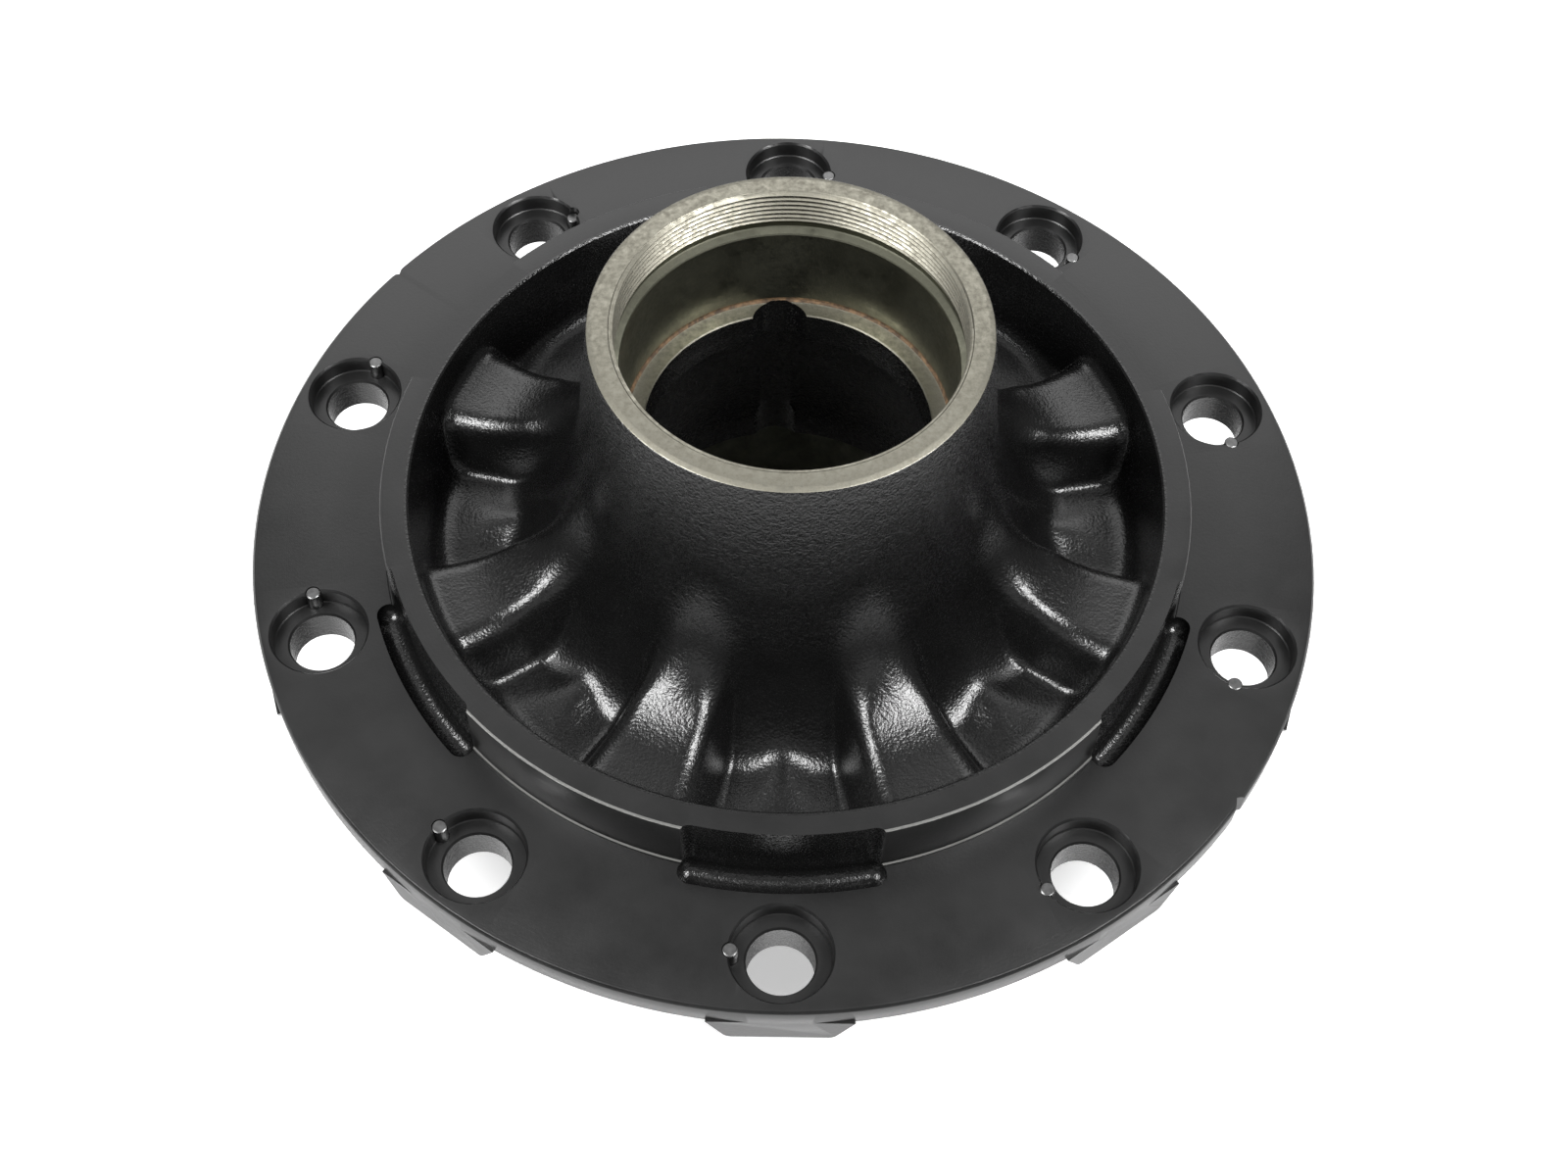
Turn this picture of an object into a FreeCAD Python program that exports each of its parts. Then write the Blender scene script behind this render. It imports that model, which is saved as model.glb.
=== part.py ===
import FreeCAD, Part
import math
import os

# Wheel hub of a heavy trailer: one iron casting, turned and drilled, with ten small dowel pins.
# Millimetres. The origin lies on the wheel's axis in the face of the flange that the wheel sits on.
# Z points outboard, from the flange to the neck that carries the hub cap.

# Flange: the circle of the studs comes first, and the rim follows it
pitch_circle_radius = 167.5
rim_margin = 20.2
rim_radius = pitch_circle_radius + rim_margin
rim_thickness = 9.5
rim_chamfer = 0.9
lug_depth = 20.0
lug_half_width = 17.0
lug_side_run = 6.0
lug_corner = 8.0

# Stud holes, their counterbores, and the pins that stop the studs from turning
stud_count = 10
first_stud_angle = 18.0
stud_hole_radius = 11.1
counterbore_radius = 16.4
counterbore_depth = 6.8
pin_radius = 2.5
pin_length = 11.5
pin_side_offset = 16.05
pin_inward_offset = 0.9
deep_pin_number = 4
deep_pin_drop = 3.0

# Spigot that centres the wheel, inside the stud holes
spigot_inset = 27.1
spigot_radius = pitch_circle_radius - spigot_inset
spigot_height = 24.0
spigot_chamfer = 0.9

# Cast pockets round the outside of the spigot
pocket_count = 6
first_pocket_angle = 30.0
pocket_half_angle = 11.8
pocket_inset = 1.8
pocket_wall_radius = spigot_radius - pocket_inset
pocket_width = 8.8
pocket_depth = 5.0

# Two small notches that somebody cut or knocked into the rim
notch_count = 2
first_notch_angle = 143.5
notch_depth = 2.0
notch_steep_side = 2.2
notch_gentle_side = 3.8

# Neck
neck_height = 104.0
neck_top_radius = 64.75
neck_draft = 6.4
neck_chamfer_width = 1.5
neck_chamfer_height = 0.8

# Bowl between neck and spigot: eight ridges tie the neck to the flange, and the floor of each
# valley between them swells to a low three-sided hump. Insets are measured from the bowl's mouth.
spigot_wall = 9.4
bowl_mouth_radius = spigot_radius - spigot_wall
bowl_wall_draft = 13.0
bowl_corner = 6.0
ridge_count = 8
first_ridge_angle = 22.5
ridge_half_angle = 11.0
ridge_side_draft = 8.0
ridge_foot_height = 62.0
ridge_turn_inset = 13.0
ridge_height = 12.0
valley_foot_height = 50.0
valley_turn_inset = 27.0
valley_depth = 8.0
hump_height = 8.0
hump_top_inset = 36.0
hump_inner_inset = 51.0
hump_outer_inset = 14.0
hump_half_width = 15.0

# Bores, from the neck's mouth inwards
cap_thread_radius = 57.5
cap_thread_pitch = 2.0
cap_thread_end = 90.0
thread_relief_radius = 57.8
thread_relief_end = 87.0
outer_seat_radius = 55.0
outer_seat_top = 86.0
outer_shoulder_height = 52.35
outer_shoulder_radius = 48.55
outer_shoulder_land = 13.35
cavity_top_radius = 55.0
cavity_radius = 61.5
cavity_cone_height = 9.0
cavity_foot_step = 4.0
inner_shoulder_radius = 59.5
inner_shoulder_top = -18.0
inner_shoulder_height = -29.5
inner_seat_radius = 65.0
inner_seat_length = 29.0
seal_bore_radius = 70.0
slot_count = 2
first_slot_angle = 94.0
slot_width = 19.5
slot_outer_reach = 55.0
slot_inner_reach = 63.0

# Inboard side
barrel_end = -74.0
barrel_radius = 82.0
barrel_chamfer = 1.5
bore_chamfer = 1.0
barrel_root_height = -42.0
web_height = -25.0
web_inner_radius = 98.0
web_outer_inset = 10.4
web_outer_radius = spigot_radius - web_outer_inset
web_edge_margin = 4.6
web_edge_radius = spigot_radius + web_edge_margin

OVERSIZE = 6.0
CENTRE = FreeCAD.Vector(0, 0, 0)
UP = FreeCAD.Vector(0, 0, 1)


def on_circle(radius, degrees, height=0.0):
    """A point at a radius and an angle about the axis."""
    turn = math.radians(degrees)
    return FreeCAD.Vector(radius * math.cos(turn), radius * math.sin(turn), height)


def turned(outline, degrees=360.0):
    """A solid of revolution from a closed outline of (radius, height) points."""
    points = [FreeCAD.Vector(radius, 0, height) for radius, height in outline]
    face = Part.Face(Part.makePolygon(points + points[:1]))
    return face.revolve(CENTRE, UP, degrees)


def around(shape, count, first_angle=0.0):
    """Copies of a shape, spread evenly round the axis."""
    copies = []
    for number in range(count):
        copy = shape.copy()
        copy.rotate(CENTRE, UP, first_angle + number * 360.0 / count)
        copies.append(copy)
    return copies


def neck_radius(height):
    """The neck is a cone that widens towards the bowl."""
    return neck_top_radius + (neck_height - height) * math.tan(math.radians(neck_draft))


def wall_radius(height):
    """The bowl's outer wall is a cone that opens outboard, so that the casting leaves its mould."""
    return bowl_mouth_radius + (height - spigot_height) * math.tan(math.radians(bowl_wall_draft))


def floor_space(foot_height, turn_inset, floor_height):
    """What the mould leaves empty over a floor of one section, all the way round.

    The floor leaves the neck steeply, flattens out, and a short slope takes it into the wall.
    """
    inner = neck_radius(foot_height)
    run = bowl_mouth_radius - turn_inset - inner
    outline = []
    for degrees in (0.0, 30.0, 60.0, 90.0):
        turn = math.radians(degrees)
        height = foot_height - (foot_height - floor_height) * math.sin(turn)
        outline.append((inner + run * (1 - math.cos(turn)), height))
    corner_end = floor_height + bowl_corner
    top = neck_height + OVERSIZE
    outline += [
        (wall_radius(floor_height) - bowl_corner, floor_height),
        (wall_radius(corner_end), corner_end),
        (wall_radius(top), top),
        (neck_radius(top), top),
    ]
    return turned(outline)


def ridge_wedge():
    """The room between the two leaning sides of the ridge at angle 0."""
    spread = math.tan(math.radians(ridge_half_angle))
    lean = math.tan(math.radians(ridge_side_draft))
    near = neck_top_radius
    far = bowl_mouth_radius + OVERSIZE
    outlines = []
    for height in (-valley_depth - OVERSIZE, ridge_foot_height):
        loss = (height + valley_depth) * lean
        points = []
        for radius, side in ((near, -1), (far, -1), (far, 1), (near, 1)):
            points.append(FreeCAD.Vector(radius, side * (radius * spread - loss), height))
        outlines.append(Part.makePolygon(points + points[:1]))
    return Part.makeLoft(outlines, True, True)


def hump():
    """A three-sided hump in the valley at angle 0. It reaches down into the web that carries it."""
    top = FreeCAD.Vector(bowl_mouth_radius - hump_top_inset, 0, hump_height - valley_depth)
    outer = bowl_mouth_radius - hump_outer_inset
    corners = [
        FreeCAD.Vector(bowl_mouth_radius - hump_inner_inset, 0, -valley_depth),
        FreeCAD.Vector(outer, -hump_half_width, -valley_depth),
        FreeCAD.Vector(outer, hump_half_width, -valley_depth),
    ]
    sunk = (hump_height + OVERSIZE) / hump_height
    inner, right, left = [top + (corner - top) * sunk for corner in corners]
    faces = []
    for a, b, c in ((inner, right, top), (right, left, top), (left, inner, top), (inner, left, right)):
        faces.append(Part.Face(Part.makePolygon([a, b, c, a])))
    return Part.Solid(Part.Shell(faces))


def with_bowl(body):
    """The body with its bowl: ridges and valleys cut in, humps added."""
    spacing = 360.0 / ridge_count
    over_ridges = floor_space(ridge_foot_height, ridge_turn_inset, ridge_height)
    over_valleys = floor_space(valley_foot_height, valley_turn_inset, -valley_depth)
    valleys = over_valleys.cut(around(ridge_wedge(), ridge_count, first_ridge_angle))
    body = body.cut([over_ridges, valleys])
    return body.fuse(around(hump(), ridge_count, first_ridge_angle + spacing / 2))


def blank():
    """The casting before its bowl, lugs and holes: one turned body with the bore open."""
    thread_height = cap_thread_pitch * math.sqrt(3) / 2
    thread_crest_radius = cap_thread_radius - thread_height * 5 / 8
    thread_lead = cap_thread_radius - thread_crest_radius
    land_end = outer_shoulder_height - outer_shoulder_land
    seat_end = inner_shoulder_height - inner_seat_length
    inside = [
        (cap_thread_radius, neck_height),
        (thread_crest_radius, neck_height - thread_lead),
        (thread_crest_radius, cap_thread_end),
        (thread_relief_radius, cap_thread_end),
        (thread_relief_radius, thread_relief_end),
        (outer_seat_radius, outer_seat_top),
        (outer_seat_radius, outer_shoulder_height),
        (outer_shoulder_radius, outer_shoulder_height),
        (outer_shoulder_radius, land_end),
        (cavity_top_radius, land_end),
        (cavity_radius, land_end - cavity_cone_height),
        (cavity_radius, inner_shoulder_top + cavity_foot_step),
        (inner_shoulder_radius, inner_shoulder_top),
        (inner_shoulder_radius, inner_shoulder_height),
        (inner_seat_radius, inner_shoulder_height),
        (inner_seat_radius, seat_end),
        (seal_bore_radius, seat_end),
        (seal_bore_radius, barrel_end + bore_chamfer),
        (seal_bore_radius + bore_chamfer, barrel_end),
    ]
    outside = [
        (barrel_radius - barrel_chamfer, barrel_end),
        (barrel_radius, barrel_end + barrel_chamfer),
        (barrel_radius, barrel_root_height),
        (web_inner_radius, web_height),
        (web_outer_radius, web_height),
        (web_edge_radius, -rim_thickness),
        (rim_radius + OVERSIZE, -rim_thickness),
        (rim_radius + OVERSIZE, 0),
        (spigot_radius, 0),
        (spigot_radius, spigot_height),
        (bowl_mouth_radius - bowl_corner, spigot_height),
        (bowl_mouth_radius - bowl_corner, neck_height),
    ]
    return turned(inside + outside)


def lug():
    """One lug under the flange: it carries a stud hole and runs out to the rim."""
    def outline(half_width, height):
        far = rim_radius + OVERSIZE
        nose = pitch_circle_radius - half_width
        corners = [
            (far, -half_width),
            (far, half_width),
            (nose + lug_corner, half_width),
            (nose, half_width - lug_corner),
            (nose, lug_corner - half_width),
            (nose + lug_corner, -half_width),
        ]
        points = [FreeCAD.Vector(along, across, height) for along, across in corners]
        return Part.makePolygon(points + points[:1])
    slope = lug_side_run / (lug_depth - rim_thickness)
    root = -rim_thickness / 2
    wide = lug_half_width + slope * (lug_depth + root)
    return Part.makeLoft([outline(lug_half_width, -lug_depth), outline(wide, root)], True, True)


def rim_trim():
    """The ring that the lathe takes off outside the flange, with the chamfer at its front edge."""
    outer = rim_radius + 3 * OVERSIZE
    low = -lug_depth - OVERSIZE
    return turned([
        (rim_radius, low),
        (rim_radius, -rim_chamfer),
        (rim_radius - rim_chamfer - OVERSIZE, OVERSIZE),
        (outer, OVERSIZE),
        (outer, low),
    ])


def face_trims():
    """The turned chamfers on the spigot and on the neck."""
    far = 2 * OVERSIZE
    spigot_edge = turned([
        (spigot_radius - spigot_chamfer - OVERSIZE, spigot_height + OVERSIZE),
        (spigot_radius + OVERSIZE, spigot_height + OVERSIZE),
        (spigot_radius + OVERSIZE, spigot_height - spigot_chamfer - OVERSIZE),
    ])
    slope = neck_chamfer_height / neck_chamfer_width
    top = neck_height + far * slope
    edge = neck_top_radius - neck_chamfer_width
    neck_edge = turned([
        (edge - far, top),
        (edge + 2 * far, top),
        (edge + 2 * far, neck_height - 2 * far * slope),
    ])
    return [spigot_edge, neck_edge]


def stud_cutter(pin_drop=0.0):
    """One stud hole with its counterbore and the blind hole for its pin."""
    bottom = -lug_depth - OVERSIZE
    foot = FreeCAD.Vector(pitch_circle_radius, 0, bottom)
    hole = Part.makeCylinder(stud_hole_radius, OVERSIZE - bottom, foot)
    ledge = FreeCAD.Vector(pitch_circle_radius, 0, -counterbore_depth)
    counterbore = Part.makeCylinder(counterbore_radius, counterbore_depth + OVERSIZE, ledge)
    pin_foot = pin_place(-pin_length - pin_drop)
    pin_hole = Part.makeCylinder(pin_radius, pin_length + pin_drop + OVERSIZE, pin_foot)
    return hole.fuse([counterbore, pin_hole])


def pin_place(height):
    """Where a pin stands beside the stud hole at angle 0: on the counterbore's wall."""
    return FreeCAD.Vector(pitch_circle_radius - pin_inward_offset, -pin_side_offset, height)


def stop_pin(pin_drop=0.0):
    """A plain dowel."""
    return Part.makeCylinder(pin_radius, pin_length, pin_place(-pin_length - pin_drop))


def pocket_cutter():
    """A cast pocket: a flat-bottomed groove that follows the spigot, round at both ends."""
    middle = pocket_wall_radius + pocket_width / 2
    depth = spigot_height + OVERSIZE + pocket_depth
    run = turned([
        (pocket_wall_radius, -pocket_depth),
        (pocket_wall_radius + pocket_width, -pocket_depth),
        (pocket_wall_radius + pocket_width, depth - pocket_depth),
        (pocket_wall_radius, depth - pocket_depth),
    ], 2 * pocket_half_angle)
    run.rotate(CENTRE, UP, -pocket_half_angle)
    ends = []
    for degrees in (-pocket_half_angle, pocket_half_angle):
        centre = on_circle(middle, degrees, -pocket_depth)
        ends.append(Part.makeCylinder(pocket_width / 2, depth, centre))
    return run.fuse(ends)


def notch_cutter():
    """A small notch in the rim with one steep and one gentle side."""
    depth = lug_depth + 2 * OVERSIZE
    beyond = 1.5
    reach = (notch_depth + beyond) / notch_depth
    outline = [
        FreeCAD.Vector(rim_radius - notch_depth, 0, -depth + OVERSIZE),
        FreeCAD.Vector(rim_radius + beyond, -notch_gentle_side * reach, -depth + OVERSIZE),
        FreeCAD.Vector(rim_radius + beyond, notch_steep_side * reach, -depth + OVERSIZE),
    ]
    face = Part.Face(Part.makePolygon(outline + outline[:1]))
    return face.extrude(FreeCAD.Vector(0, 0, depth))


def slot_cutter(bottom, top, reach):
    """Room behind a bearing cup for the drift that knocks it out: a slot with a round end."""
    half = slot_width / 2
    centre = FreeCAD.Vector(reach - half, 0, bottom)
    tip = Part.makeCylinder(half, top - bottom, centre)
    start = FreeCAD.Vector(0, -half, bottom)
    return tip.fuse(Part.makeBox(reach - half, slot_width, top - bottom, start))


def hub_casting():
    """The whole casting, machined."""
    body = with_bowl(blank())
    body = body.fuse(around(lug(), stud_count, first_stud_angle))
    body = body.cut([rim_trim()] + face_trims())
    holes = []
    for number in range(stud_count):
        drop = deep_pin_drop if number + 1 == deep_pin_number else 0.0
        hole = stud_cutter(drop)
        hole.rotate(CENTRE, UP, first_stud_angle + number * 360.0 / stud_count)
        holes.append(hole)
    body = body.cut(holes)
    body = body.cut(around(pocket_cutter(), pocket_count, first_pocket_angle))
    body = body.cut(around(notch_cutter(), notch_count, first_notch_angle))
    land_end = outer_shoulder_height - outer_shoulder_land
    upper_slot = slot_cutter(land_end - 2 * OVERSIZE, outer_shoulder_height, slot_outer_reach)
    lower_slot = slot_cutter(inner_shoulder_height, inner_shoulder_top + OVERSIZE, slot_inner_reach)
    slots = around(upper_slot, slot_count, first_slot_angle)
    slots += around(lower_slot, slot_count, first_slot_angle)
    body = body.cut(slots)
    return body.removeSplitter()


def single_solid(shape):
    """The one solid that a finished piece consists of."""
    solids = shape.Solids
    if len(solids) != 1:
        raise ValueError("a piece came out as %d solids" % len(solids))
    return solids[0]


def main():
    os.makedirs("parts", exist_ok=True)
    single_solid(hub_casting()).exportStep("parts/hub_casting.step")
    for number in range(stud_count):
        drop = deep_pin_drop if number + 1 == deep_pin_number else 0.0
        pin = stop_pin(drop)
        pin.rotate(CENTRE, UP, first_stud_angle + number * 360.0 / stud_count)
        single_solid(pin).exportStep("parts/stop_pin_%02d.step" % (number + 1))


main()
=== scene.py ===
# %% [markdown]
# # A heavy trailer's wheel hub
# The real part is one black iron casting. A lathe has cut its flange, its spigot and its bores,
# and the rest keeps the skin of the sand mould. Ten small dowel pins stand in the flange.
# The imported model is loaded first, as the frame that every piece is built into.

# %% Load the frame
import math
import bpy
import bmesh
import numpy as np
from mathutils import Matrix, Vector


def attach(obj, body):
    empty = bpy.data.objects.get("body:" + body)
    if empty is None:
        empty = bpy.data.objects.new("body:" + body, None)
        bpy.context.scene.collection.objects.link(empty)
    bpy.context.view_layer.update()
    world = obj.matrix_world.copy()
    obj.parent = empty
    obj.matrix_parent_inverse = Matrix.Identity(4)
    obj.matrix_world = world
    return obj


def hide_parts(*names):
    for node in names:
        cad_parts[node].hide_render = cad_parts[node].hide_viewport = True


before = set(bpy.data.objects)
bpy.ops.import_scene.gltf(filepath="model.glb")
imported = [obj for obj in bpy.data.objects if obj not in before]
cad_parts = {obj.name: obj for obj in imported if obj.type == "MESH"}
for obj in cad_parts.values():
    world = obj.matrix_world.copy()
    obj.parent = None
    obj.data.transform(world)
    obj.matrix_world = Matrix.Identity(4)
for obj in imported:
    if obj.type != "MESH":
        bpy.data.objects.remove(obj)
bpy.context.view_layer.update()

print("nodes:", len(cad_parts))

# %% [markdown]
# The sizes are written once, in millimetres as on a drawing. Blender's unit is the metre,
# so every tool below multiplies by MM when it places a point.

# %% Sizes
MM = 0.001
CASTING_STEPS = 640

RIM_RADIUS = 187.7
RIM_THICKNESS = 9.5
LUG_TOP = -8.0
LUG_BOTTOM = -20.0
LUG_HALF_WIDTH = 17.0
LUG_FLARE = 1.38
LUG_INSET = 0.3
LUG_CORNER = 9.0
LUG_EDGE = 1.6
STUD_COUNT = 10
FIRST_STUD_ANGLE = 18.0
STUD_CIRCLE = 167.5
STUD_HOLE = 11.1
COUNTERBORE = 16.4
COUNTERBORE_DEPTH = 6.8
PIN_RADIUS = 2.5
PIN_LENGTH = 11.5
PIN_SIDE = 16.05
PIN_INWARD = 0.9
PIN_HOLE = 2.62
DEEP_PIN = 4
DEEP_PIN_DROP = 3.0
SPIGOT_RADIUS = 140.4
SPIGOT_HEIGHT = 24.0
POCKET_COUNT = 6
FIRST_POCKET_ANGLE = 30.0
POCKET_HALF_ANGLE = 11.8
POCKET_WALL = 138.6
POCKET_WIDTH = 8.8
POCKET_DEPTH = 5.0
NECK_HEIGHT = 104.0
NECK_TOP = 64.75
NECK_DRAFT = 6.4
BOWL_MOUTH = 130.6
BOWL_DRAFT = 13.0
RIDGE_COUNT = 8
FIRST_RIDGE_ANGLE = 22.5
THREAD_ROOT = 57.5
THREAD_CREST = 56.4
THREAD_PITCH = 2.0
THREAD_TURNS = 7.0
HUMP_RADIUS = 98.0
HUMP_TOP = -4.6
BARREL_END = -74.0
NOTCH_ANGLES = (143.5, 323.5)
SLOT_ANGLES = (94, 274)
SLOT_HALF_WIDTH = 9.75
print("flange %.1f mm across" % (2 * RIM_RADIUS))

# %% [markdown]
# Blender's operators act on everything that is selected, and the frame comes in selected.
# These small tools start each piece with a clean selection. A turned piece starts as a single
# point. The point is drawn out into half a cross-section, as a turner's template would be cut,
# and one spin about the axis makes it round.

# %% Tools for turned pieces
def deselect():
    """Leaves edit mode and clears the selection."""
    if bpy.context.object and bpy.context.object.mode != "OBJECT":
        bpy.ops.object.mode_set(mode="OBJECT")
    bpy.ops.object.select_all(action="DESELECT")


def start_point(name, radius, height):
    """A mesh of one point, left in edit mode."""
    deselect()
    bpy.ops.mesh.primitive_plane_add(size=0.002, location=(0, 0, 0))
    piece = bpy.context.object
    piece.name = name
    bpy.ops.object.mode_set(mode="EDIT")
    bpy.ops.mesh.select_mode(type="VERT")
    bpy.ops.mesh.select_all(action="SELECT")
    bpy.ops.mesh.merge(type="CENTER")
    bpy.ops.transform.translate(value=(radius * MM, 0, height * MM))
    return piece


def draw_outline(outline, closed=True):
    """Draws the chosen point out along (radius, height) points, back to the first if closed."""
    points = list(outline) + ([outline[0]] if closed else [])
    for (r0, z0), (r1, z1) in zip(points, points[1:]):
        step = ((r1 - r0) * MM, 0, (z1 - z0) * MM)
        bpy.ops.mesh.extrude_region_move(TRANSFORM_OT_translate={"value": step})


def finish_mesh(piece):
    """Merges doubles, turns the faces outwards and leaves edit mode."""
    bpy.ops.mesh.select_all(action="SELECT")
    bpy.ops.mesh.remove_doubles(threshold=0.000002)
    bpy.ops.mesh.normals_make_consistent(inside=False)
    bpy.ops.object.mode_set(mode="OBJECT")
    return piece


def lathe(name, outline, steps=96):
    """A solid of revolution about Z from a closed outline in millimetres."""
    piece = start_point(name, *outline[0])
    draw_outline(outline)
    bpy.ops.mesh.select_all(action="SELECT")
    bpy.ops.mesh.spin(steps=steps, angle=2 * math.pi, center=(0, 0, 0), axis=(0, 0, 1))
    return finish_mesh(piece)


def place(piece, x=0.0, y=0.0, z=0.0, turn=0.0):
    """Moves a piece in millimetres, turns it about Z, and leaves the place in its mesh."""
    deselect()
    piece.select_set(True)
    bpy.context.view_layer.objects.active = piece
    piece.location = (x * MM, y * MM, z * MM)
    bpy.ops.object.transform_apply(location=True, rotation=True, scale=True)
    piece.rotation_euler = (0, 0, math.radians(turn))
    bpy.ops.object.transform_apply(location=True, rotation=True, scale=True)
    return piece


def copy_of(piece, name):
    """A second piece of the same shape, with a mesh of its own."""
    twin = piece.copy()
    twin.data = piece.data.copy()
    twin.name = name
    bpy.context.collection.objects.link(twin)
    return twin


def joined(pieces, name):
    """Several pieces made into one."""
    deselect()
    for piece in pieces:
        piece.select_set(True)
    bpy.context.view_layer.objects.active = pieces[0]
    bpy.ops.object.join()
    pieces[0].name = name
    return pieces[0]


def arc(radius, height, size, start, end, count=4):
    """Points of a small rounding: centre, size and the angles between which it runs."""
    points = []
    for step in range(count + 1):
        turn = math.radians(start + (end - start) * step / count)
        points.append((radius + size * math.cos(turn), height + size * math.sin(turn)))
    return points


# %% [markdown]
# The casting is one closed outline, drawn anticlockwise from the neck's mouth: down the neck,
# across the bowl, over the spigot and the flange, round the rim, back under the web to the
# barrel, and up through the bores. The bowl's floor starts as the plain section of a valley.
# Where the lathe has left an edge, a tiny rounding catches the light, as on the real part.

# %% Outline of the casting
CURVE_STEPS = 30
FLAT_STEPS = 4
FILLET_STEPS = 8
WALL_STEPS = 7
FOOT_SLOPE = 0.55
WALL_EDGE = 0.6


def neck_radius(height):
    """Radius of the neck's outside at a height: it narrows upwards."""
    return NECK_TOP + (NECK_HEIGHT - height) * math.tan(math.radians(NECK_DRAFT))


def wall_radius(height):
    """Radius of the spigot's inner wall at a height: it widens upwards."""
    return BOWL_MOUTH + (height - SPIGOT_HEIGHT) * math.tan(math.radians(BOWL_DRAFT))


def floor_line(foot_height, floor_radius, floor_height, fillet, lean, run_out):
    """The bowl's floor in one plane: (radius, height) points from the neck's foot to the wall.

    It leaves the neck with a lean and runs out level, both as shares of the curve's width.
    """
    points = []
    foot = neck_radius(foot_height)
    wide, high = floor_radius - foot, foot_height - floor_height
    for step in range(CURVE_STEPS + 1):
        share = step / CURVE_STEPS
        first, second = 3 * share * (1 - share) ** 2, 3 * share ** 2 * (1 - share)
        last = share ** 3
        radius = foot + wide * (lean * first + (1 - run_out) * second + last)
        height = foot_height - high * (FOOT_SLOPE * first + second + last)
        points.append((radius, height))
    draft = math.radians(BOWL_DRAFT)
    middle = wall_radius(floor_height + fillet) - fillet / math.cos(draft)
    for step in range(1, FLAT_STEPS):
        share = step / FLAT_STEPS
        points.append((floor_radius + (middle - floor_radius) * share, floor_height))
    for step in range(FILLET_STEPS + 1):
        turn = -math.pi / 2 + step / FILLET_STEPS * (math.pi / 2 - draft)
        points.append((middle + fillet * math.cos(turn),
                       floor_height + fillet + fillet * math.sin(turn)))
    low = floor_height + fillet * (1 + math.sin(-draft))
    for step in range(1, WALL_STEPS + 1):
        height = low + (SPIGOT_HEIGHT - WALL_EDGE - low) * step / WALL_STEPS
        points.append((wall_radius(height), height))
    return points


VALLEY = floor_line(50.0, 103.0, -8.0, 9.0, 0.15, 0.38)
RIDGE = floor_line(62.0, 118.0, 12.0, 5.0, 0.0, 0.55)
NECK_HEIGHTS = (103.2, 102.8, 100.0, 94.0, 88.0, 82.0, 76.0, 70.0, 66.0)
neck_line = [(neck_radius(height), height) for height in NECK_HEIGHTS]

outside = [(57.9, NECK_HEIGHT), (62.6, NECK_HEIGHT)]
outside += [(63.1, 103.92), (64.35, 103.4), (64.7, 103.32)]
outside += neck_line + VALLEY
outside += [(131.1, SPIGOT_HEIGHT), (131.9, SPIGOT_HEIGHT), (139.6, SPIGOT_HEIGHT)]
outside += [(139.8, 23.95), (140.3, 23.45), (SPIGOT_RADIUS, 23.2)]
outside += [(SPIGOT_RADIUS, 1.0), (140.9, 0.45), (140.95, -0.5), (141.4, -0.5), (141.6, 0.0)]
outside += [(186.5, 0.0), (186.8, -0.08), (187.6, -0.85), (RIM_RADIUS, -1.1)]
outside += [(RIM_RADIUS, -8.9), (187.4, -RIM_THICKNESS), (150.0, -RIM_THICKNESS)]
outside += [(146.0, -10.6), (134.0, -22.0), (129.0, -24.5), (124.0, -25.0), (101.0, -25.0)]
outside += [(96.0, -26.5), (86.0, -38.0), (83.0, -42.0), (82.0, -45.5)]
outside += [(82.0, -72.5), (80.5, BARREL_END)]
inside = [(71.0, BARREL_END), (70.0, -73.0), (70.0, -58.9), (69.6, -58.5)]
inside += [(65.4, -58.5), (65.0, -58.1)]
inside += [(65.0, -30.3), (64.6, -29.5), (59.9, -29.5), (59.5, -29.1), (59.5, -18.0), (61.5, -14.0)]
inside += [(61.5, 17.0), (59.0, 26.0), (55.5, 35.0), (54.0, 38.0), (52.5, 39.0), (48.9, 39.0)]
inside += [(48.55, 39.4), (48.55, 51.9), (48.95, 52.35), (53.6, 52.35)]
inside += [(54.2, 52.55), (54.8, 53.2), (55.0, 54.0)]
inside += [(55.0, 85.6), (55.3, 86.1), (56.4, 86.5), (57.5, 86.9), (57.8, 87.3)]
inside += [(57.8, 89.8), (THREAD_ROOT, 90.2), (THREAD_ROOT, 103.6)]
CAST_OUTLINE = outside + inside
print("outline points:", len(CAST_OUTLINE))

# %% [markdown]
# The pattern maker gave the bowl eight broad ridges, which tie the neck to the flange, and eight
# valleys between them. A ridge has a broad top, rounded shoulders and steep sides. The floor of
# each valley swells to a low hump with three soft sides. After the spin, the points of the bowl
# slide to their place: how far each one moves depends on its angle.

# %% Spin the casting and raise its ridges
SHOULDER_START, SHOULDER_END = 5.0, 8.9
SIDE_END, FOOT_END = 11.2, 13.2
SHOULDER_DROP, SIDE_DROP, FOOT_DROP = 0.265, 0.60, 0.135
STEEP = 0.94
WAVE_HALF_ANGLE = 17.0
MELT_RADIUS, MELT_WIDTH = 94.0, 20.0
HUMP_OUTER_FALL, HUMP_SIDE_FALL, HUMP_INNER_FALL = 0.26, 0.63, 0.12
HUMP_LIFT, HUMP_SOFTNESS = 2.2, 2.0
MEETING_SOFTNESS = 1.8
SAME_PLACE = 0.004


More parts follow.
